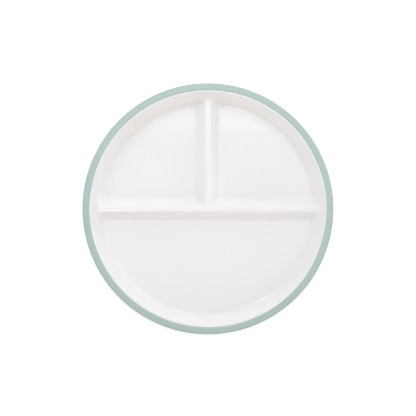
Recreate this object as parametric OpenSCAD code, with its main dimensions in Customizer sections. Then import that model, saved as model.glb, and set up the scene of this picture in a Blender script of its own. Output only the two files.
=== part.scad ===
// Divided plate. A hard moulded shell has three compartments between a
// straight divider and a shorter one that stands square to it. A soft rim is
// moulded over the tongue round the shell's edge, and three soft pads are
// moulded into seats on its underside.
// Lengths are in millimetres. The plate lies flat, its dividers form a T, and
// the origin is on the table under its centre.

/* [Plate] */
// Diameter over the soft rim
plate_d = 220; // [190:1:260]
// Height from the table to the top of the soft rim
plate_h = 28; // [24:0.5:36]
// Thickness of the shell, the same all over
wall_t = 2.4; // [1.8:0.1:2.8]
// Lean of the wall from upright, in degrees
wall_lean = 20.3; // [12:0.1:30]
// Radius of the fillet between the floor and what rises from it
floor_fillet_r = 2.5; // [2:0.1:5]

/* [Dividers] */
// Height of the dividers above the floor
divider_h = 10; // [8:0.5:14]
// Width of a divider's crest, before its edges are rounded
crest_w = 4.8; // [4.6:0.1:9]
// Slope of a divider's sides from the floor, in degrees
side_slope = 53; // [45:0.5:60]
// Radius of the crest's edges
crest_edge_r = 1.8; // [0.6:0.1:2.6]

/* [Lip and tongue] */
// Width of the shell's bare lip inside the soft rim
lip_w = 1.2; // [1:0.1:3]
// Radius of the lip's inner edge
lip_edge_r = 0.6; // [0.2:0.1:0.9]
// Depth of the tongue's upper face below the lip
tongue_drop = 1.5; // [1:0.1:2.5]
// Reach of the tongue into the soft rim, from the lip's outer face
tongue_reach = 3; // [2:0.1:3.6]
// Thickness of the tongue
tongue_t = 1.6; // [1.2:0.1:2.2]
// Number of holes through the tongue, which the soft rim fills
lock_count = 36; // [12:1:60]
// Diameter of those holes
lock_d = 1.6; // [1:0.1:1.8]

/* [Soft rim] */
// Width of the soft rim seen from above
rim_w = 6.2; // [5:0.1:9]
// Height that the soft rim stands above the lip
rim_proud = 1; // [0.4:0.1:2]
// Slope of the rim's top down to its outer edge, in degrees
rim_fall = 13; // [0:1:20]
// Radius of the rim's inner top edge
rim_inner_r = 0.9; // [0.3:0.1:1.2]
// Radius of the rim's outer top edge
rim_outer_r = 2.6; // [1:0.1:3.2]
// Height of the rim's upright outer band, with the slope above it
rim_band_h = 6; // [5:0.1:8]
// Height of the taper below that band
rim_taper_h = 4; // [3:0.1:8]
// Thickness of the rim at the foot of its taper
rim_foot_t = 2; // [1:0.1:3]
// Radius where the band turns into the taper
rim_turn_r = 2.5; // [1:0.1:4.5]
// Radius of the edge at the foot of the taper
rim_foot_r = 0.9; // [0.3:0.1:1.2]

/* [Grip pads] */
// Diameter along the middle of the ring of pads
pad_ring_d = 164; // [130:1:180]
// Width of a pad
pad_w = 5; // [3:0.1:5.8]
// Height that a pad stands below its seat
pad_proud = 0.8; // [0.4:0.1:1.5]
// Radius of a pad's lower edges
pad_edge_r = 0.5; // [0.2:0.1:0.7]
// Radius of a pad's round ends, over half its width
pad_end_r = 3; // [2.7:0.1:5]
// Height of the walls of a pad's seat
seat_h = 1.6; // [1:0.1:2.5]
// Thickness of the walls of a pad's seat
seat_t = 1.5; // [1:0.1:2.5]
// Distance from a divider's channel to the end of a pad's seat
pad_end_gap = 3.5; // [1.5:0.5:15]

/* [Hidden] */
$fn = 180;
// Angle between the points of a rounded corner
arc_step = 6;
// How far a cut runs past the face that it opens
overrun = 2;

// Heights above the table
seat_z = pad_proud;
underside_z = seat_z + seat_h;
floor_z = underside_z + wall_t;
crest_z = floor_z + divider_h;
lip_z = plate_h - rim_proud;

// The wall, by its radius at a height above the table
lip_in_r = plate_d / 2 - rim_w - lip_w;
lip_out_r = lip_in_r + lip_w;
function wall_in_r(z) = lip_in_r - (lip_z - z) * tan(wall_lean);
function wall_out_r(z) = wall_in_r(z) + wall_t / cos(wall_lean);

// The dividers, by half their width at a height above the table
function side_x(z) = crest_w / 2 + (crest_z - z) / tan(side_slope);
function channel_x(z) = side_x(z) - wall_t / sin(side_slope);
channel_roof_z = crest_z - wall_t;
bend_out_r = floor_fillet_r + wall_t;
channel_edge_x = channel_x(underside_z) + bend_out_r * tan(side_slope / 2);
root_z = floor_z - wall_t / 2;

// The tongue
tongue_z = lip_z - tongue_drop;
tongue_low_z = tongue_z - tongue_t;
tongue_r = lip_out_r + tongue_reach;

// The soft rim: the corner over its rounded peak, the corner over its
// shoulder, and where its band and its taper end
peak_r = min(rim_inner_r, rim_proud);
peak_z = plate_h - peak_r + peak_r * tan((90 + rim_fall) / 2);
shoulder_z = peak_z - rim_w * tan(rim_fall);
band_z = plate_h - rim_band_h;
rim_foot_z = band_z - rim_taper_h;

// Which way the dividers run from the middle, and between which two of them
// each compartment lies: the half, the left quarter and the right quarter
divider_angles = [0, 90, 180];
compartments = [[180, 360], [90, 180], [0, 90]];

mint = "#afc2be";

// Outlines with rounded corners

function unit(v) = v / norm(v);
function spun(v, a) = [v.x * cos(a) - v.y * sin(a), v.x * sin(a) + v.y * cos(a)];
function wrap(points, i) = points[(i + len(points)) % len(points)];

// The arc of radius r that replaces a corner between two straight edges
function arc_at(before, corner, after, r) =
    let (
        way_in = unit(corner - before),
        way_out = unit(after - corner),
        turn = atan2(cross(way_in, way_out), way_in * way_out),
        start = corner - way_in * r * tan(abs(turn) / 2),
        to_centre = sign(turn) * r * spun(way_in, 90),
        steps = ceil(abs(turn) / arc_step)
    )
    r == 0 ? [corner] : [for (i = [0 : steps]) start + to_centre - spun(to_centre, turn * i / steps)];

module rounded(points, radii) {
    last = len(points) - 1;
    polygon([
        for (i = [0 : last]) each arc_at(wrap(points, i - 1), points[i], wrap(points, i + 1), radii[i])
    ]);
}

module turned() {
    rotate_extrude() children();
}

// The tongue, with the holes that lock the soft rim to it

module tongue() {
    mid_r = lip_out_r + tongue_reach / 2;
    difference() {
        turned() translate([lip_in_r, tongue_low_z]) square([tongue_r - lip_in_r, tongue_t]);
        for (i = [0 : lock_count - 1])
            rotate((i + 0.5) * 360 / lock_count)
            translate([mid_r, 0, tongue_low_z - overrun])
            cylinder(d = lock_d, h = tongue_t + 2 * overrun);
    }
}

// The ring of pads

// A band on the ring between two angles, with a round end past each
module ring_band(from, to, width, end_r, low_z, high_z, edge_r) {
    ring_r = pad_ring_d / 2;
    sides = 4;
    intersection() {
        turned() translate([ring_r, 0]) rounded(
            [[-width / 2, low_z], [width / 2, low_z], [width / 2, high_z], [-width / 2, high_z]],
            [edge_r, edge_r, 0, 0]
        );
        translate([0, 0, low_z - overrun]) linear_extrude(high_z - low_z + 2 * overrun) {
            polygon([
                [0, 0],
                for (i = [0 : sides]) spun([plate_d / 2, 0], from + (to - from) * i / sides)
            ]);
            for (a = [from, to]) rotate(a) translate([ring_r, 0]) circle(end_r);
        }
    }
}

// The band under a compartment, which stops short of the channels beside it,
// as wide as the pad or wider on every side
module pad_band(compartment, wider, low_z, high_z, edge_r = 0) {
    end_a = asin((channel_edge_x + pad_end_gap + seat_t + pad_end_r) / (pad_ring_d / 2));
    ring_band(
        compartment[0] + end_a, compartment[1] - end_a,
        pad_w + 2 * wider, pad_end_r + wider, low_z, high_z, edge_r
    );
}

// The shell

// Half of the shell's section, without its dividers and tongue
module dish_section() {
    rounded(
        [
            [0, underside_z],
            [wall_out_r(underside_z), underside_z],
            [wall_out_r(tongue_low_z), tongue_low_z],
            [lip_out_r, tongue_z],
            [lip_out_r, lip_z],
            [lip_in_r, lip_z],
            [wall_in_r(floor_z), floor_z],
            [0, floor_z]
        ],
        [0, bend_out_r, 0, 0, 0, lip_edge_r, floor_fillet_r, 0]
    );
}

// Section of a divider, rooted in the floor
module divider_section() {
    foot_x = side_x(floor_z);
    flat_x = foot_x + 2 * floor_fillet_r;
    rounded(
        [
            [-flat_x, root_z], [flat_x, root_z], [flat_x, floor_z], [foot_x, floor_z],
            [crest_w / 2, crest_z], [-crest_w / 2, crest_z],
            [-foot_x, floor_z], [-flat_x, floor_z]
        ],
        [0, 0, 0, floor_fillet_r, crest_edge_r, crest_edge_r, floor_fillet_r, 0]
    );
}

// Section of the channel under a divider, which leaves the shell's thickness
module channel_section() {
    mouth_x = channel_x(underside_z);
    roof_x = channel_x(channel_roof_z);
    flat_x = channel_edge_x + overrun / 2;
    below_z = underside_z - overrun;
    rounded(
        [
            [-flat_x, below_z], [flat_x, below_z], [flat_x, underside_z], [mouth_x, underside_z],
            [roof_x, channel_roof_z], [-roof_x, channel_roof_z],
            [-mouth_x, underside_z], [-flat_x, underside_z]
        ],
        [0, 0, 0, bend_out_r, 0, 0, bend_out_r, 0]
    );
}

// A section run along the T of dividers, from the middle past the wall
module along_dividers() {
    for (a = divider_angles)
        rotate(a) rotate([90, 0, 90]) linear_extrude(plate_d / 2) children();
}

// The dividers, which end inside the thickness of the wall
module dividers() {
    into_wall = wall_t / 2 / cos(wall_lean);
    intersection() {
        along_dividers() divider_section();
        turned() polygon([
            [0, root_z],
            [wall_in_r(root_z) + into_wall, root_z],
            [wall_in_r(crest_z) + into_wall, crest_z],
            [0, crest_z]
        ]);
    }
}

module plate_shell() {
    color("whitesmoke")
    difference() {
        union() {
            turned() dish_section();
            tongue();
            dividers();
            for (compartment = compartments)
                pad_band(compartment, seat_t, seat_z, root_z);
        }
        along_dividers() channel_section();
        for (compartment = compartments)
            pad_band(compartment, 0, seat_z - overrun, underside_z);
    }
}

// The soft pieces

module rim_grip() {
    color(mint)
    difference() {
        turned() rounded(
            [
                [wall_out_r(rim_foot_z), rim_foot_z],
                [wall_out_r(rim_foot_z) + rim_foot_t, rim_foot_z],
                [plate_d / 2, band_z],
                [plate_d / 2, shoulder_z],
                [lip_out_r, peak_z],
                [lip_out_r, tongue_z],
                [wall_out_r(tongue_low_z), tongue_low_z]
            ],
            [0, rim_foot_r, rim_turn_r, rim_outer_r, peak_r, 0, 0]
        );
        tongue();
    }
}

module pad_lower() {
    color(mint) pad_band(compartments[0], 0, 0, underside_z, pad_edge_r);
}

module pad_upper_left() {
    color(mint) pad_band(compartments[1], 0, 0, underside_z, pad_edge_r);
}

module pad_upper_right() {
    color(mint) pad_band(compartments[2], 0, 0, underside_z, pad_edge_r);
}

plate_shell();
rim_grip();
pad_lower();
pad_upper_left();
pad_upper_right();
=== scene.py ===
import math

import bmesh
import bpy
import numpy as np
from mathutils import Matrix, Vector


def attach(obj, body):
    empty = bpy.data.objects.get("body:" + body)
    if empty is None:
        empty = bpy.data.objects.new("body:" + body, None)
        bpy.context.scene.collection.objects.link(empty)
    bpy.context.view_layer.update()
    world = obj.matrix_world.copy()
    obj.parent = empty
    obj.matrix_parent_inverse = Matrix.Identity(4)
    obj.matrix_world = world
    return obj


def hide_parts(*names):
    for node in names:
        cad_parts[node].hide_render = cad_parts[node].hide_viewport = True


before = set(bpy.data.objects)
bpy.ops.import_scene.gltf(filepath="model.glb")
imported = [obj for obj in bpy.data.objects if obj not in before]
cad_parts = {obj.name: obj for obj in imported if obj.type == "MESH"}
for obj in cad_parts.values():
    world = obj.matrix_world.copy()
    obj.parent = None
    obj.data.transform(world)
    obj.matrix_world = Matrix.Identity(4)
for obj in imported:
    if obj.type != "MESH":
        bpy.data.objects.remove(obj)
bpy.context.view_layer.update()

# Sizes are written in millimetres, as on the maker's drawing, and multiplied
# by MM where they become Blender's metres.
MM = 0.001

# The plate
PLATE_R = 110.0
PLATE_TOP = 28.0
SHELL_T = 2.4
UNDERSIDE_Z = 2.4
FLOOR_Z = UNDERSIDE_Z + SHELL_T
WALL_LEAN = math.radians(20.3)

# The lip, and the tongue that the soft rim is moulded over
LIP_Z = 27.0
LIP_IN_R = 102.6
LIP_OUT_R = 103.8
LIP_EDGE_R = 0.6
LIP_OUTER_EDGE_R = 0.15
TONGUE_TOP_Z = 25.5
TONGUE_LOW_Z = 23.9
TONGUE_R = 106.8
TONGUE_EDGE_R = 0.2
TONGUE_ROOT_R = 0.1

# The dividers
DIVIDER_H = 10.0
CREST_HALF = 2.4
SIDE_ANGLE = math.radians(53.0)
SIDE_SLOPE = math.tan(SIDE_ANGLE)
ROOF_HALF = CREST_HALF + SHELL_T / SIDE_SLOPE - SHELL_T / math.sin(SIDE_ANGLE)

# The soft rim
RIM_FOOT_Z = 18.0
RIM_FOOT_T = 2.0
RIM_BAND_Z = 22.0
RIM_FALL = math.radians(13.0)
RIM_INNER_R = 0.9
RIM_OUTER_R = 2.6
RIM_TURN_R = 2.5

# The pads and their seats
PAD_RING_R = 82.0
PAD_HALF = 2.5
PAD_END_R = 3.0
PAD_TOP_EDGE = 0.15
PAD_LOW_EDGE_R = 0.5
PAD_FACE_INSETS = (0.9, 1.6, 2.5)
SEAT_Z = 0.8
SEAT_T = 1.5
SEAT_GAP = 0.02
SEAT_ROOT = 0.8
SEAT_INNER_R = 0.25
SEAT_OUTER_R = 0.4
SEAT_FILLET_R = 0.5
SEAT_TO_CHANNEL = 3.5
FILLET_R = 2.5
CHANNEL_EDGE_X = (
    CREST_HALF + (DIVIDER_H + SHELL_T) / SIDE_SLOPE - SHELL_T / math.sin(SIDE_ANGLE)
    + (FILLET_R + SHELL_T) * math.tan(SIDE_ANGLE / 2)
)
PAD_END_X = CHANNEL_EDGE_X + SEAT_TO_CHANNEL + SEAT_T + PAD_END_R
COMPARTMENTS = {"lower": (180, 360), "upper_left": (90, 180), "upper_right": (0, 90)}


def wall_in_r(z):
    """The radius of the wall's inner face at a height."""
    return LIP_IN_R - (LIP_Z - z) * math.tan(WALL_LEAN)


def wall_out_r(z):
    """The radius of the wall's outer face at a height."""
    return wall_in_r(z) + SHELL_T / math.cos(WALL_LEAN)


# Meshes

# Points nearer to each other than this are one point
WELD_GAP = 0.004 * MM


def mesh_object(name, points, faces, material, smooth=True):
    """A new object at the origin, its points in millimetres."""
    mesh = bpy.data.meshes.new(name)
    mesh.from_pydata([tuple(c * MM for c in p) for p in points], [], faces)
    mesh.update()
    piece = bpy.data.objects.new(name, mesh)
    bpy.context.scene.collection.objects.link(piece)
    mesh.materials.append(material)
    mesh.polygons.foreach_set("use_smooth", [smooth] * len(mesh.polygons))
    return piece


def close_up(mesh):
    """Welds points that meet and turns every face outwards."""
    work = bmesh.new()
    work.from_mesh(mesh)
    bmesh.ops.remove_doubles(work, verts=work.verts, dist=WELD_GAP)
    bmesh.ops.dissolve_degenerate(work, edges=work.edges, dist=WELD_GAP)
    bmesh.ops.recalc_face_normals(work, faces=work.faces)
    work.to_mesh(mesh)
    work.free()


def plain_mesh(piece):
    """Swaps an object's mesh for what its modifiers make of it."""
    graph = bpy.context.evaluated_depsgraph_get()
    result = bpy.data.meshes.new_from_object(piece.evaluated_get(graph), depsgraph=graph)
    piece.modifiers.clear()
    old = piece.data
    piece.data = result
    result.name = piece.name
    bpy.data.meshes.remove(old)


def rounded_outline(points, radii, step=9.0, closed=True):
    """The outline through points, each corner swapped for an arc of its radius.

    The arcs are drawn in steps of about step degrees. An open outline keeps its
    two end points.
    """
    outline = []
    count = len(points)
    for i, (corner, radius) in enumerate(zip(points, radii)):
        if radius == 0 or (not closed and i in (0, count - 1)):
            outline.append(tuple(corner))
            continue
        before, after = Vector(points[i - 1]), Vector(points[(i + 1) % count])
        corner = Vector(corner)
        way_in = (corner - before).normalized()
        way_out = (after - corner).normalized()
        turn = math.atan2(way_in.cross(way_out), way_in.dot(way_out))
        reach = radius * math.tan(abs(turn) / 2)
        start = corner - way_in * reach
        side = Vector((-way_in.y, way_in.x)) * math.copysign(radius, turn)
        steps = max(2, math.ceil(abs(math.degrees(turn)) / step))
        for k in range(steps + 1):
            c, s = math.cos(turn * k / steps), math.sin(turn * k / steps)
            spun = Vector((side.x * c - side.y * s, side.x * s + side.y * c))
            outline.append(tuple(start + side - spun))
    return outline


# Geometry node trees


class NodeMaker:
    """Short calls that put nodes in a tree and link them."""

    def __init__(self, tree):
        self.tree = tree

    def node(self, kind, settings=None, **links):
        """A node with its settings, and its inputs by name, with _ for a space."""
        made = self.tree.nodes.new(kind)
        for key, value in (settings or {}).items():
            setattr(made, key, value)
        for key, value in links.items():
            self.feed(made.inputs[key.replace("_", " ")], value)
        return made

    def feed(self, socket, value):
        """Gives a socket a link or a plain value."""
        if isinstance(value, bpy.types.NodeSocket):
            self.tree.links.new(value, socket)
        else:
            socket.default_value = value

    def math(self, operation, *values):
        """One sum on numbers or links."""
        made = self.tree.nodes.new("ShaderNodeMath")
        made.operation = operation
        for socket, value in zip(made.inputs, values):
            self.feed(socket, value)
        return made.outputs[0]


class TreeMaker(NodeMaker):
    """Builds a geometry node tree with named inputs for its sizes."""

    def __init__(self, name):
        super().__init__(bpy.data.node_groups.new(name, "GeometryNodeTree"))
        self.tree.is_modifier = True
        self.new_socket("Geometry", "INPUT", "NodeSocketGeometry")
        self.new_socket("Geometry", "OUTPUT", "NodeSocketGeometry")
        self.inputs = self.tree.nodes.new("NodeGroupInput")
        self.outputs = self.tree.nodes.new("NodeGroupOutput")
        self.values = {}

    def new_socket(self, name, way, kind):
        """A named socket on the tree's own inputs or outputs."""
        return self.tree.interface.new_socket(name, in_out=way, socket_type=kind)

    def size(self, name, value, kind="NodeSocketFloat"):
        """A named input, and the value that the modifier will give it."""
        socket = self.new_socket(name, "INPUT", kind)
        self.values[socket.identifier] = value
        return self.inputs.outputs[name]

    def circle(self, steps, radius):
        """A circle of a number of steps."""
        made = self.node("GeometryNodeCurvePrimitiveCircle", {"mode": "RADIUS"})
        self.feed(made.inputs["Resolution"], steps)
        self.feed(made.inputs["Radius"], radius)
        return made.outputs[0]

    def sweep(self, profile, path):
        """A profile carried along a path."""
        made = self.node("GeometryNodeCurveToMesh", Curve=path, Profile_Curve=profile)
        return made.outputs[0]

    def finish(self, geometry, piece, material):
        """Ends the tree, runs it on the piece and keeps the result as its mesh."""
        real = self.node("GeometryNodeRealizeInstances", Geometry=geometry)
        smooth = self.node("GeometryNodeSetShadeSmooth", Geometry=real.outputs[0])
        painted = self.node(
            "GeometryNodeSetMaterial", Geometry=smooth.outputs[0], Material=material
        )
        self.tree.links.new(painted.outputs[0], self.outputs.inputs[0])
        modifier = piece.modifiers.new(self.tree.name, "NODES")
        modifier.node_group = self.tree
        for identifier, value in self.values.items():
            modifier[identifier] = value
        plain_mesh(piece)
        close_up(piece.data)
        return piece


# Materials


class Paint(NodeMaker):
    """A node material, with short calls for what the plastics and the table need."""

    def __init__(self, name):
        self.material = bpy.data.materials.new(name)
        self.material.use_nodes = True
        super().__init__(self.material.node_tree)
        self.shader = self.tree.nodes["Principled BSDF"]
        coordinates = self.tree.nodes.new("ShaderNodeTexCoord")
        self.place, self.normal = coordinates.outputs["Object"], coordinates.outputs["Normal"]

    def link(self, output, name):
        """Feeds one of the shader's sockets from a node."""
        self.tree.links.new(output, self.shader.inputs[name])

    def set(self, **values):
        """Sets the shader's own sockets."""
        for key, value in values.items():
            self.shader.inputs[key.replace("_", " ")].default_value = value

    def noise(self, grain_mm, detail, roughness=0.5):
        """Noise whose lumps are about the size given."""
        made = self.node("ShaderNodeTexNoise", Vector=self.place, Scale=1 / (grain_mm * MM))
        made.inputs["Detail"].default_value = detail
        made.inputs["Roughness"].default_value = roughness
        return made.outputs["Fac"]

    def ramp(self, value, stops):
        """Maps a value to colours or to numbers at the stops given."""
        made = self.node("ShaderNodeValToRGB", Fac=value)
        ramp = made.color_ramp
        while len(ramp.elements) < len(stops):
            ramp.elements.new(0.5)
        for element, (at, colour) in zip(ramp.elements, stops):
            element.position = at
            red_green_blue = colour if isinstance(colour, tuple) else (colour,) * 3
            element.color = (*red_green_blue, 1)
        return made.outputs["Color"]

    def bump(self, height, depth_mm, normal=None):
        """A bumpy normal, on top of another one if it is given."""
        made = self.node("ShaderNodeBump", Height=height, Strength=1.0, Distance=depth_mm * MM)
        if normal:
            self.tree.links.new(normal, made.inputs["Normal"])
        return made.outputs["Normal"]


WHITE_DEEP, WHITE_PALE = (0.886, 0.882, 0.878), (0.896, 0.893, 0.890)
POLISHED, SMEARED = 0.05, 0.08
SATIN_ROUGHER = 0.2
MINT_DEEP, MINT_PALE = (0.416, 0.538, 0.515), (0.430, 0.554, 0.531)
RUBBED, MATTE = 0.56, 0.66


def glossy_white_plastic():
    """Polished moulding: nearly white, with the faint ripple and fine scuffs of use."""
    paint = Paint("glossy white moulded plastic")
    cloud = paint.noise(grain_mm=60, detail=2)
    paint.link(paint.ramp(cloud, [(0.3, WHITE_DEEP), (0.7, WHITE_PALE)]), "Base Color")
    wiped = paint.noise(grain_mm=18, detail=4, roughness=0.6)
    smear = paint.ramp(wiped, [(0.35, POLISHED), (0.7, SMEARED)])
    # The mould was polished on the food side only: what faces down is satin
    down = paint.node("ShaderNodeSeparateXYZ", Vector=paint.normal).outputs["Z"]
    faces_down = paint.node("ShaderNodeMapRange", Value=down, From_Min=-0.15, From_Max=-0.32)
    satin = faces_down.outputs["Result"]
    paint.link(paint.math("MULTIPLY_ADD", satin, SATIN_ROUGHER, smear), "Roughness")
    ripple = paint.bump(paint.noise(grain_mm=9, detail=1), depth_mm=0.012)
    grain = paint.bump(paint.noise(grain_mm=0.7, detail=2), depth_mm=0.0006, normal=ripple)
    etching = paint.math("MULTIPLY", paint.noise(grain_mm=0.3, detail=3), satin)
    etched = paint.bump(etching, depth_mm=0.006, normal=grain)
    paint.link(etched, "Normal")
    paint.set(IOR=1.5)
    return paint.material


def matte_mint_rubber():
    """Soft moulded rubber: a matte, finely grained skin."""
    paint = Paint("matte mint soft rubber")
    cloud = paint.noise(grain_mm=30, detail=3)
    paint.link(paint.ramp(cloud, [(0.3, MINT_DEEP), (0.7, MINT_PALE)]), "Base Color")
    rub = paint.noise(grain_mm=6, detail=3)
    paint.link(paint.ramp(rub, [(0.3, RUBBED), (0.75, MATTE)]), "Roughness")
    grain = paint.bump(paint.noise(grain_mm=0.35, detail=3), depth_mm=0.012)
    paint.link(grain, "Normal")
    paint.set(IOR=1.48)
    return paint.material


white_plastic = glossy_white_plastic()
mint_rubber = matte_mint_rubber()

# The shell moulding

# The plan of the plate is a square of lines that run beside the dividers, and
# four fans from the square's sides out to the wall. A tree then lifts the plan
# to the height of the moulding, once for its upper face and once for its
# underside, with smooth blends where the dividers meet the floor and the wall.

SQUARE_HALF = 60.0
BAND_HALF = 13.5
# Where the lines beside a divider start and stop, and how many there are
LINE_STRETCHES = [
    (0.0, 1.4, 2),
    (1.4, 3.6, 9),
    (3.6, 8.2, 6),
    (8.2, 12.0, 12),
    (12.0, BAND_HALF, 2),
]
FLOOR_LINES = 23
FLOOR_LINE_SPREAD = 1.45
ROWS_OUT_OF_SQUARE = 13


def half_lines():
    """Line positions across one half of the plan, closest on a divider's edges."""
    lines = [np.linspace(a, b, n, endpoint=False) for a, b, n in LINE_STRETCHES]
    spread = np.linspace(0, 1, FLOOR_LINES) ** FLOOR_LINE_SPREAD
    return np.concatenate(lines + [BAND_HALF + (SQUARE_HALF - BAND_HALF) * spread])


HALF = half_lines()
LINES = np.concatenate([-HALF[:0:-1], HALF])


def fan_angles(radius):
    """Where the plan's lines cross a circle: straight on beside a divider, then spread."""
    size = np.abs(LINES)
    edge = math.asin(BAND_HALF / radius)
    share = np.clip((size - BAND_HALF) / (SQUARE_HALF - BAND_HALF), 0, 1)
    straight = np.arcsin(np.minimum(size, BAND_HALF) / radius)
    spread = edge + (math.pi / 4 - edge) * share
    return np.copysign(np.where(size <= BAND_HALF, straight, spread), LINES)


def fan_row(radius):
    """The plan's points on a circle, for the quarter that faces right."""
    angles = fan_angles(radius)
    return np.stack([np.cos(angles), np.sin(angles)], 1) * radius


def fan_rows(radii):
    """Rows of plan points from the square's right side outwards."""
    side = np.stack([np.full(len(LINES), SQUARE_HALF), LINES], 1)
    first = fan_row(radii[0])
    rows = [side + (first - side) * share for share in np.linspace(0, 1, ROWS_OUT_OF_SQUARE)]
    return rows + [fan_row(radius) for radius in radii[1:]]


class Plan:
    """Points and faces of the shell, gathered sheet by sheet."""

    def __init__(self):
        self.points, self.faces, self.sheet = [], [], []

    def grid(self, rows, heights, sheet):
        """Adds rows of plan points, one height for each row."""
        start, across = len(self.points), len(rows[0])
        for row, z in zip(rows, heights):
            self.points += [(x, y, z) for x, y in row]
            self.sheet += [sheet] * across
        for i in range(len(rows) - 1):
            for j in range(across - 1):
                a = start + i * across + j
                self.faces.append((a, a + across, a + across + 1, a + 1))

    def four_sides(self, rows, heights, sheet):
        """Adds the rows four times, each a quarter turn on."""
        for c, s in ((1, 0), (0, 1), (-1, 0), (0, -1)):
            turned = []
            for row in rows:
                x, y = row[:, 0], row[:, 1]
                turned.append(np.stack([x * c - y * s, x * s + y * c], 1))
            self.grid(turned, heights, sheet)

    def whole_sheet(self, radii, sheet):
        """Adds the square and the four fans round it."""
        square = [np.stack([np.full(len(LINES), x), LINES], 1) for x in LINES]
        self.grid(square, [0] * len(square), sheet)
        rows = fan_rows(radii)
        self.four_sides(rows, [0] * len(rows), sheet)


def sheet_radii(first, middle, last, rows, last_rows):
    """Circles of a sheet: close over the wall's foot, wider apart up the wall."""
    close = np.linspace(first, middle, rows)
    return np.concatenate([close, np.linspace(middle, last, last_rows)[1:]])


# The plan's sheets: the upper face, the underside, and the edge between them
UPPER, LOWER, EDGE = 1, 2, 0
# The heights at which the two faces pass into the edge
UPPER_EDGE_Z = 25.8
LOWER_EDGE_Z = 22.9

upper_circles = sheet_radii(
    first=89.0, middle=99.4, last=wall_in_r(UPPER_EDGE_Z), rows=36, last_rows=6
)
lower_circles = sheet_radii(
    first=90.0, middle=101.0, last=wall_out_r(LOWER_EDGE_Z), rows=36, last_rows=5
)
plan = Plan()
plan.whole_sheet(upper_circles, UPPER)
plan.whole_sheet(lower_circles, LOWER)
lip_section = rounded_outline(
    [
        (wall_in_r(UPPER_EDGE_Z), UPPER_EDGE_Z),
        (LIP_IN_R, LIP_Z),
        (LIP_OUT_R, LIP_Z),
        (LIP_OUT_R, TONGUE_TOP_Z),
        (TONGUE_R, TONGUE_TOP_Z),
        (TONGUE_R, TONGUE_LOW_Z),
        (wall_out_r(TONGUE_LOW_Z), TONGUE_LOW_Z),
        (wall_out_r(LOWER_EDGE_Z), LOWER_EDGE_Z),
    ],
    [
        0, LIP_EDGE_R, LIP_OUTER_EDGE_R,
        TONGUE_ROOT_R, TONGUE_EDGE_R, TONGUE_EDGE_R, TONGUE_ROOT_R, 0,
    ],
    closed=False,
)
plan.four_sides([fan_row(r) for r, z in lip_section], [z for r, z in lip_section], EDGE)

plate_shell = mesh_object("plate_shell_moulding", plan.points, plan.faces, white_plastic)
tag = plate_shell.data.attributes.new("sheet", "INT", "POINT")
tag.data.foreach_set("value", plan.sheet)


# How softly the surfaces run together, in millimetres: at the dividers' feet,
# crests and ends, and at the foot of the wall. The short foot is a share: the
# short divider's foot is softer than the long one's by that much
UPPER_BLENDS = {"foot": 1.4, "crest": 1.8, "wall": 5.5, "end": 16.0, "short foot": 1.4}
UNDER_BLENDS = {"foot": 2.7, "crest": 0.4, "wall": 8.5, "end": 19.0, "short foot": 1.0}
# The short divider stops inside the long one on a slope this many times as steep
# as its sides
STOP_STEEPER = 3.0


def sheet_height(maker, place, label, base_z, crest_half, foot_r, blends):
    """One sheet's height: a T of ridges and a leaning wall, blended into a floor."""
    height = maker.size(label + " divider height", DIVIDER_H * MM)
    half = maker.size(label + " crest half width", crest_half * MM)
    slope = maker.size(label + " side slope", SIDE_SLOPE)
    foot = maker.size(label + " wall foot radius", foot_r * MM)
    lean = maker.size(label + " wall slope", 1 / math.tan(WALL_LEAN))
    foot_soft = maker.size(label + " divider foot blend", blends["foot"] * MM)
    crest_soft = maker.size(label + " crest edge blend", blends["crest"] * MM)
    wall_soft = maker.size(label + " wall foot blend", blends["wall"] * MM)
    end_soft = maker.size(label + " divider end blend", blends["end"] * MM)
    softer = maker.size(label + " extra foot blend of the short divider", blends["short foot"])
    base = maker.size(label + " floor height", base_z * MM)
    x, y = place.outputs["X"], place.outputs["Y"]
    m = maker.math

    def side(across):
        rise = m("MULTIPLY", m("SUBTRACT", half, m("ABSOLUTE", across)), slope)
        return m("ADD", height, rise)

    # The upright of the T stops inside the crossbar
    peak = m("ADD", height, m("MULTIPLY", half, slope))
    stop = m("ADD", peak, m("MULTIPLY", m("MULTIPLY", y, slope), STOP_STEEPER))
    upright = m("MINIMUM", side(x), stop)
    crossbar = side(y)
    sides = m("SMOOTH_MAX", crossbar, upright, foot_soft)
    reach = m("SQRT", m("ADD", m("MULTIPLY", x, x), m("MULTIPLY", y, y)))
    wall = m("MULTIPLY", m("SUBTRACT", reach, foot), lean)
    bowl = m("SMOOTH_MAX", wall, 0.0, wall_soft)
    # A divider's sides sweep round into the wall, below the height of its crest
    swept = m("SMOOTH_MAX", sides, wall, end_soft)
    ridge = m("SMOOTH_MIN", swept, height, crest_soft)
    # Away from the dividers the wall is left as it is
    near = m("ADD", m("DIVIDE", m("SUBTRACT", sides, wall), end_soft), 1.0)
    near = m("MAXIMUM", m("MINIMUM", near, 1.0), 0.0)
    # The short divider's foot is softer than the long one's, and the change is
    # half way where their sides meet
    short = m("ADD", m("DIVIDE", m("SUBTRACT", upright, crossbar), end_soft), 0.5)
    short = m("MAXIMUM", m("MINIMUM", short, 1.0), 0.0)
    foot_soft = m("MULTIPLY", foot_soft, m("MULTIPLY_ADD", short, softer, 1.0))
    return m("ADD", base, m("SMOOTH_MAX", ridge, bowl, m("MULTIPLY", foot_soft, near)))


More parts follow.
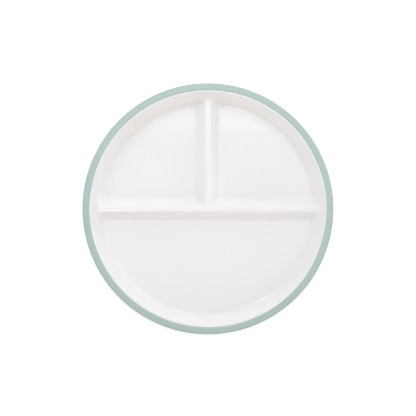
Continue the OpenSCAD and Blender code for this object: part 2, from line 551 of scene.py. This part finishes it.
def lift_shell(piece):
    """Lifts both sheets of the plan to their heights."""
    maker = TreeMaker("lift the plate from its plan")
    position = maker.node("GeometryNodeInputPosition").outputs[0]
    place = maker.node("ShaderNodeSeparateXYZ", Vector=position)
    tag = maker.node("GeometryNodeInputNamedAttribute", {"data_type": "INT"}, Name="sheet")
    geometry = maker.inputs.outputs["Geometry"]
    rules = {
        UPPER: ("Upper", FLOOR_Z, CREST_HALF, wall_in_r(FLOOR_Z), UPPER_BLENDS),
        LOWER: ("Under", UNDERSIDE_Z, ROOF_HALF, wall_out_r(UNDERSIDE_Z), UNDER_BLENDS),
    }
    for which, rule in rules.items():
        chosen = maker.node("FunctionNodeCompare", {"data_type": "INT", "operation": "EQUAL"})
        # Sockets 2 and 3 of the comparison are its whole numbers
        maker.feed(chosen.inputs[2], tag.outputs["Attribute"])
        maker.feed(chosen.inputs[3], which)
        lifted = maker.node(
            "ShaderNodeCombineXYZ",
            X=place.outputs["X"],
            Y=place.outputs["Y"],
            Z=sheet_height(maker, place, *rule),
        )
        moved = maker.node(
            "GeometryNodeSetPosition",
            Geometry=geometry,
            Selection=chosen.outputs[0],
            Position=lifted.outputs[0],
        )
        geometry = moved.outputs[0]
    maker.finish(geometry, piece, white_plastic)


lift_shell(plate_shell)

# The soft rim, swept round the plate

RING_STEPS = 512


def sweep_ring(name, section, centre, material):
    """Sweeps a closed section round the plate: points (radius, height)."""
    count = len(section)
    points = [(r - centre[0], centre[1] - z, 0) for r, z in section]
    piece = mesh_object(name, points, [], material)
    work = bmesh.new()
    work.from_mesh(piece.data)
    work.verts.ensure_lookup_table()
    for i in range(count):
        work.edges.new((work.verts[i], work.verts[(i + 1) % count]))
    work.to_mesh(piece.data)
    work.free()
    maker = TreeMaker("sweep a section round the plate")
    radius = maker.size("Ring radius", centre[0] * MM)
    height = maker.size("Ring height", centre[1] * MM)
    steps = maker.size("Steps round the ring", RING_STEPS, "NodeSocketInt")
    circle = maker.circle(steps, radius)
    profile = maker.node("GeometryNodeMeshToCurve", Mesh=maker.inputs.outputs["Geometry"])
    swept = maker.sweep(profile.outputs[0], circle)
    lift = maker.node("ShaderNodeCombineXYZ", Z=height)
    moved = maker.node("GeometryNodeTransform", Geometry=swept, Translation=lift.outputs[0])
    return maker.finish(moved.outputs[0], piece, material)


RIM_PEAK_Z = PLATE_TOP + RIM_INNER_R * (math.tan(math.pi / 4 + RIM_FALL / 2) - 1)
RIM_SHOULDER_Z = RIM_PEAK_Z - (PLATE_R - LIP_OUT_R) * math.tan(RIM_FALL)
# The fine line round the rim where the two halves of the mould met
MOULD_LINE_Z = 24.1
MOULD_LINE = [(0.0, -0.14), (0.05, -0.05), (0.05, 0.05), (0.0, 0.14)]
RIM_FOOT_INNER_R, RIM_FOOT_OUTER_R = 0.15, 0.9
rim_section = rounded_outline(
    [
        (wall_out_r(RIM_FOOT_Z), RIM_FOOT_Z),
        (wall_out_r(RIM_FOOT_Z) + RIM_FOOT_T, RIM_FOOT_Z),
        (PLATE_R, RIM_BAND_Z),
        *[(PLATE_R - depth, MOULD_LINE_Z + up) for depth, up in MOULD_LINE],
        (PLATE_R, RIM_SHOULDER_Z),
        (LIP_OUT_R, RIM_PEAK_Z),
        (LIP_OUT_R, TONGUE_TOP_Z),
        (TONGUE_R, TONGUE_TOP_Z),
        (TONGUE_R, TONGUE_LOW_Z),
        (wall_out_r(TONGUE_LOW_Z), TONGUE_LOW_Z),
    ],
    [
        RIM_FOOT_INNER_R, RIM_FOOT_OUTER_R, RIM_TURN_R,
        0, 0, 0, 0,
        RIM_OUTER_R, RIM_INNER_R,
        0, 0, 0, 0,
    ],
    step=6.0,
)
RIM_SECTION_CENTRE = (107.0, 24.0)
rim_grip = sweep_ring("rim_soft_grip", rim_section, RIM_SECTION_CENTRE, mint_rubber)

# The pads, their seats and the marks of the mould

BAND_STEP_DEGREES = 1.5
BAND_TIP_POINTS = 11


def towards(angle):
    """The flat direction at an angle round the plate."""
    return Vector((math.cos(angle), math.sin(angle)))


def band_outline(compartment, inset):
    """The outline of a pad's band on the pad ring, drawn in by inset on every side."""
    half_w, end_r = max(PAD_HALF - inset, 0.0), PAD_END_R - inset
    end_a = math.asin(PAD_END_X / PAD_RING_R)
    start, stop = (math.radians(a) for a in COMPARTMENTS[compartment])
    start, stop = start + end_a, stop - end_a

    def tip(centre_a, way):
        """The round end, from the band's outer edge to its inner edge."""
        outward = towards(centre_a)
        along = Vector((-outward.y, outward.x)) * way
        open_a = math.asin(min(half_w / end_r, 1.0))
        return [
            outward * PAD_RING_R + (along * math.cos(t) + outward * math.sin(t)) * end_r
            for t in np.linspace(open_a, -open_a, BAND_TIP_POINTS)
        ]

    steps = int(math.degrees(stop - start) / BAND_STEP_DEGREES)
    angles = np.linspace(start, stop, steps)
    outer = [towards(a) * (PAD_RING_R + half_w) for a in angles]
    inner = [towards(a) * (PAD_RING_R - half_w) for a in angles[::-1]]
    return [tuple(p) for p in outer + tip(stop, 1) + inner + tip(start, -1)[::-1]]


def quarter(inset, z, radius, points, out, up):
    """A quarter round in a section of insets and heights.

    It starts beside its centre and ends above or below it.
    """
    turns = np.radians(np.linspace(0, 90, points))
    return [(inset + out * radius * math.cos(a), z + up * radius * math.sin(a)) for a in turns]


def loft(name, loops, material, close_ring=False):
    """Faces between loops of points (outline, z)."""
    count = len(loops[0][0])
    points = [(x, y, z) for outline, z in loops for x, y in outline]
    faces = []
    last = len(loops) if close_ring else len(loops) - 1
    for i in range(last):
        here, there = i * count, (i + 1) % len(loops) * count
        for j in range(count):
            k = (j + 1) % count
            faces.append((here + j, here + k, there + k, there + j))
    piece = mesh_object(name, points, faces, material)
    close_up(piece.data)
    return piece


def pad(compartment):
    """A pad: upright sides, a rounded lower edge and a flat face to stand on."""
    edge = PAD_LOW_EDGE_R
    side_end_z = edge + 0.1
    rings = [(inset, UNDERSIDE_Z) for inset in PAD_FACE_INSETS[:0:-1]]
    rings += [(PAD_TOP_EDGE, UNDERSIDE_Z), (0.0, UNDERSIDE_Z - PAD_TOP_EDGE), (0.0, side_end_z)]
    rings += quarter(edge, edge, edge, points=8, out=-1, up=-1)
    rings += [(inset, 0.0) for inset in PAD_FACE_INSETS]
    loops = [(band_outline(compartment, inset), z) for inset, z in rings]
    return loft("pad_" + compartment + "_grip", loops, mint_rubber)


def seat(compartment):
    """The low wall round a pad, with a small fillet at its foot."""
    inner, outer, foot = SEAT_INNER_R, SEAT_OUTER_R, SEAT_FILLET_R
    root_z = UNDERSIDE_Z + SEAT_ROOT
    rings = [(-SEAT_GAP, root_z)]
    rings += quarter(-SEAT_GAP - inner, SEAT_Z + inner, inner, points=5, out=1, up=-1)
    rings += quarter(-SEAT_T + outer, SEAT_Z + outer, outer, points=6, out=-1, up=-1)[::-1]
    rings += quarter(-SEAT_T - foot, UNDERSIDE_Z - foot, foot, points=6, out=1, up=1)
    rings += [(-SEAT_T - foot, root_z)]
    loops = [(band_outline(compartment, inset), z) for inset, z in rings]
    return loft("seat_" + compartment, loops, white_plastic, close_ring=True)


PIN_R, PIN_RING_T = 2.8, 0.11
PIN_RING_STEPS, PIN_RING_SIDES = 64, 8
PIN_PLACES = [
    (-46, -34), (46, -34), (-20, -62), (20, -62),
    (-52, 30), (-30, 56), (52, 30), (30, 56),
]
# The gate mark's radii, and how far each is below the channel's roof
GATE_SECTION = [
    (1.25, -0.5), (1.25, 0.0), (1.05, 0.3), (0.95, 0.36),
    (0.8, 0.34), (0.55, 0.2), (0.01, 0.14),
]
GATE_STEPS = 32


def pin_marks():
    """The faint rings that the mould's ejector pins leave on the underside."""
    places = [(x, y, UNDERSIDE_Z) for x, y in PIN_PLACES]
    piece = mesh_object("pin_marks", places, [], white_plastic)
    maker = TreeMaker("ring the ejector pins")
    pin = maker.size("Pin radius", PIN_R * MM)
    proud = maker.size("Ring thickness", PIN_RING_T * MM)
    points = maker.inputs.outputs["Geometry"]
    swept = maker.sweep(maker.circle(PIN_RING_SIDES, proud), maker.circle(PIN_RING_STEPS, pin))
    rings = maker.node("GeometryNodeInstanceOnPoints", Points=points, Instance=swept)
    return maker.finish(rings.outputs[0], piece, white_plastic)


def gate_mark():
    """The little stub in the channel's roof where the plastic ran into the mould."""
    roof = UNDERSIDE_Z + DIVIDER_H
    round_way = [towards(a) for a in np.linspace(0, 2 * math.pi, GATE_STEPS, endpoint=False)]
    loops = [([tuple(way * r) for way in round_way], roof - drop) for r, drop in GATE_SECTION]
    return loft("gate_mark", loops, white_plastic)


def join(name, parts):
    """One object from several, with their meshes put together."""
    work = bmesh.new()
    for part in parts:
        work.from_mesh(part.data)
    first = parts[0]
    work.to_mesh(first.data)
    work.free()
    first.name = first.data.name = name
    for part in parts[1:]:
        old = part.data
        bpy.data.objects.remove(part)
        bpy.data.meshes.remove(old)
    return first


pads = {compartment: pad(compartment) for compartment in COMPARTMENTS}
marks = [pin_marks(), gate_mark()]
seats = join("pad_seats", [seat(compartment) for compartment in COMPARTMENTS] + marks)

# What rides on what

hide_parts("plate_shell")
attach(plate_shell, "root")

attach(seats, "root")

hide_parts("rim_grip")
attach(rim_grip, "root")

for compartment, piece in pads.items():
    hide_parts("pad_" + compartment)
    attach(piece, "root")

# Table and light

TABLE_HALF = 2500.0
TABLE_COLOUR = (0.86, 0.86, 0.86)
TABLE_GLOW = 0.45


def white_table():
    """A pale table that keeps the shadow: plain white to the camera and to reflections."""
    paint = Paint("white table")
    paint.set(Base_Color=(*TABLE_COLOUR, 1), Roughness=0.9, Specular_IOR_Level=0.0)
    ray = paint.node("ShaderNodeLightPath").outputs
    reflected = paint.math("MAXIMUM", ray["Is Glossy Ray"], ray["Is Transmission Ray"])
    seen = paint.math("MAXIMUM", ray["Is Camera Ray"], reflected)
    strength = paint.math("MULTIPLY", seen, TABLE_GLOW)
    glow = paint.node("ShaderNodeEmission", Color=(1, 1, 1, 1), Strength=strength)
    both = paint.node("ShaderNodeAddShader")
    paint.feed(both.inputs[0], paint.shader.outputs[0])
    paint.feed(both.inputs[1], glow.outputs[0])
    paint.feed(paint.tree.nodes["Material Output"].inputs["Surface"], both.outputs[0])
    return paint.material


corners = [(x * TABLE_HALF, y * TABLE_HALF, 0) for x, y in ((-1, -1), (1, -1), (1, 1), (-1, 1))]
table = mesh_object("table", corners, [(0, 1, 2, 3)], white_table(), smooth=False)

# Lamps: direction round the plate from its right and height above the table in
# degrees, distance and size in metres, and power in watts
LAMPS = {
    "overhead": (90, 65, 1.5, (1.0, 1.0), 4.33),
    "close_right": (0, 50, 0.6, (0.45, 0.45), 0.38),
    "close_back_left": (135, 50, 0.6, (0.45, 0.45), 0.44),
    "close_back": (90, 50, 0.6, (0.45, 0.45), 0.245),
    "strip_back_right": (42, 14, 1.2, (0.8, 0.12), 0.7),
    "strip_back_left": (122, 42, 1.2, (0.17, 0.4), 0.24),
}
# Small bright lamps seen only in reflections: they draw the fine lines of light
# along the foot of the wall
GLINTS = {
    "glint_back_right": (42, 15, 1.2, (0.8, 0.12), 2.2),
    "glint_back_left": (120, 60, 1.2, (0.1, 0.35), 2.2),
    "glint_front_left": (243, 66, 1.2, (0.35, 0.5), 4.5),
    "glint_right": (14, 72, 1.2, (0.12, 0.3), 0.45),
}
# The white walls of the light tent: the same all over, with brighter panels
# round it, each at a direction round the plate, low or half way up
TENT = (0.446, 0.458, 0.483)
PANEL_FOCUS = 4.0
LOW, HIGH = (0.30, 0.14), (0.62, 0.18)
TENT_PANELS = [
    (0, LOW, (1.024, 1.072, 0.984)),
    (90, LOW, (1.160, 0.856, 0.852)),
    (180, LOW, (0.436, 0.524, 0.236)),
    (225, LOW, (0.900, 0.872, 0.928)),
    (315, LOW, (0.516, 0.412, 0.232)),
    (270, HIGH, (1.128, 0.890, 0.762)),
]


def facing(away, up):
    """The turn of a lamp or camera that stands at away and looks back at the plate."""
    right = Vector(up).cross(away).normalized()
    return Matrix((right, away.cross(right), away)).transposed()


def lamp(name, azimuth, elevation, distance, size, power):
    """A flat lamp that the camera doesn't see."""
    data = bpy.data.lights.new(name, "AREA")
    data.shape = "RECTANGLE"
    data.size, data.size_y = size
    data.energy = power
    made = bpy.data.objects.new(name, data)
    a, e = math.radians(azimuth), math.radians(elevation)
    away = Vector((math.cos(a) * math.cos(e), math.sin(a) * math.cos(e), math.sin(e)))
    made.location = away * distance
    made.rotation_euler = facing(away, (0, 0, 1)).to_euler()
    made.visible_camera = False
    bpy.context.scene.collection.objects.link(made)
    return made


def light_tent():
    """A tent of white cloth all round, with soft-edged brighter panels."""
    world = bpy.data.worlds.new("light tent")
    bpy.context.scene.world = world
    world.use_nodes = True
    maker = NodeMaker(world.node_tree)
    m = maker.math
    looking = maker.node("ShaderNodeTexCoord").outputs["Generated"]
    way = maker.node("ShaderNodeSeparateXYZ", Vector=looking)
    x, y, z = (way.outputs[axis] for axis in "XYZ")
    flat = m("SQRT", m("ADD", m("MULTIPLY", x, x), m("MULTIPLY", y, y)))
    flat = m("MAXIMUM", flat, 0.0001)
    light = TENT
    for azimuth, (middle, depth), colour in TENT_PANELS:
        a = math.radians(azimuth)
        along = m("ADD", m("MULTIPLY", x, math.cos(a)), m("MULTIPLY", y, math.sin(a)))
        across = m("POWER", m("MAXIMUM", m("DIVIDE", along, flat), 0.0), PANEL_FOCUS)
        above = m("DIVIDE", m("SUBTRACT", z, middle), depth)
        band = m("EXPONENT", m("MULTIPLY", m("MULTIPLY", above, above), -1.0))
        panel = maker.node("ShaderNodeVectorMath", {"operation": "SCALE"}, Vector=colour)
        maker.feed(panel.inputs["Scale"], m("MULTIPLY", across, band))
        total = maker.node("ShaderNodeVectorMath", {"operation": "ADD"})
        maker.feed(total.inputs[0], light)
        maker.feed(total.inputs[1], panel.outputs[0])
        light = total.outputs[0]
    maker.feed(world.node_tree.nodes["Background"].inputs["Color"], light)


for name, values in LAMPS.items():
    lamp(name, *values)
for name, values in GLINTS.items():
    lamp(name, *values).visible_diffuse = False
light_tent()

# Camera

# The picture's width in pixels, and in millimetres at the height of the rim
IMAGE_PX = 416
FRAME_W = 364.4
LENS, SENSOR = 128.0, 36.0
CAMERA_LEFT = math.radians(1.2)
CAMERA_BELOW = math.radians(1.1)
PLATE_AT_PX = (208.15, 208.6)
RIM_PLANE_Z = 24.5


def photograph_camera():
    """Looks down on the plate as the photograph does, the plate's centre at its pixel."""
    data = bpy.data.cameras.new("camera")
    data.lens, data.sensor_width = LENS, SENSOR
    made = bpy.data.objects.new("camera", data)
    away = Vector((-math.sin(CAMERA_LEFT), -math.sin(CAMERA_BELOW), 0))
    away.z = math.sqrt(1 - away.length_squared)
    per_px = FRAME_W / IMAGE_PX
    right, down = (at - IMAGE_PX / 2 for at in PLATE_AT_PX)
    aim = Vector((-right * per_px, down * per_px, RIM_PLANE_Z)) * MM
    distance = FRAME_W * MM * LENS / SENSOR
    made.location = aim + away * distance
    made.rotation_euler = facing(away, (0, 1, 0)).to_euler()
    data.clip_start, data.clip_end = 0.05, 20
    bpy.context.scene.collection.objects.link(made)
    bpy.context.scene.camera = made


photograph_camera()
bpy.context.scene.view_settings.view_transform = "Standard"
